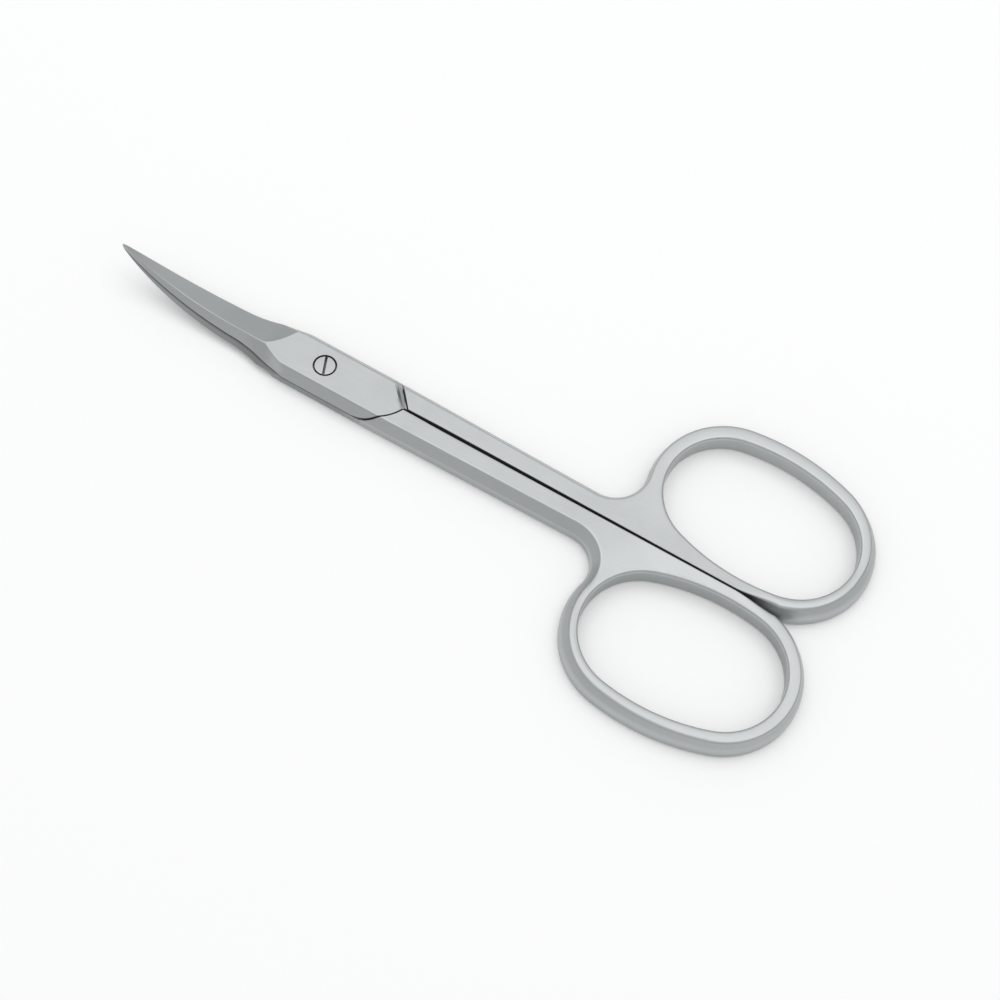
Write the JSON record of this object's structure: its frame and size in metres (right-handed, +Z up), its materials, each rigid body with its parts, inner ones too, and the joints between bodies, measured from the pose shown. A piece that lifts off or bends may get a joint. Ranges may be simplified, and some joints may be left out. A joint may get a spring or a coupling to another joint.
{
  "type": "cuticle scissors",
  "caption": "Small satin steel cuticle scissors with slender blades curved upward to fine points, a slotted pivot screw in a lapped joint, slim shanks and oval finger rings.",
  "frame": {"origin": "on the pivot axis, in the flat underside that the scissors rest on", "axes": "+X from the pivot to the finger rings, +Z up along the pivot axis, the way the tips curve, +Y towards the ring of the upper half"},
  "size_m": [0.0903, 0.038, 0.0051],
  "materials": {
    "satin_steel": "satin, finely ground stainless steel",
    "screw_steel": "satin turned steel"
  },
  "bodies": {
    "lower": {"lower_half": "satin_steel", "pivot_screw": "screw_steel"},
    "upper": {"upper_half": "satin_steel"}
  },
  "joints": [
    {"name": "blade_pivot", "type": "hinge", "parent": "lower", "child": "upper", "pos_m": [0, 0, 0.0013], "axis": [0, 0, 1], "range_deg": [0, 80]}
  ]
}
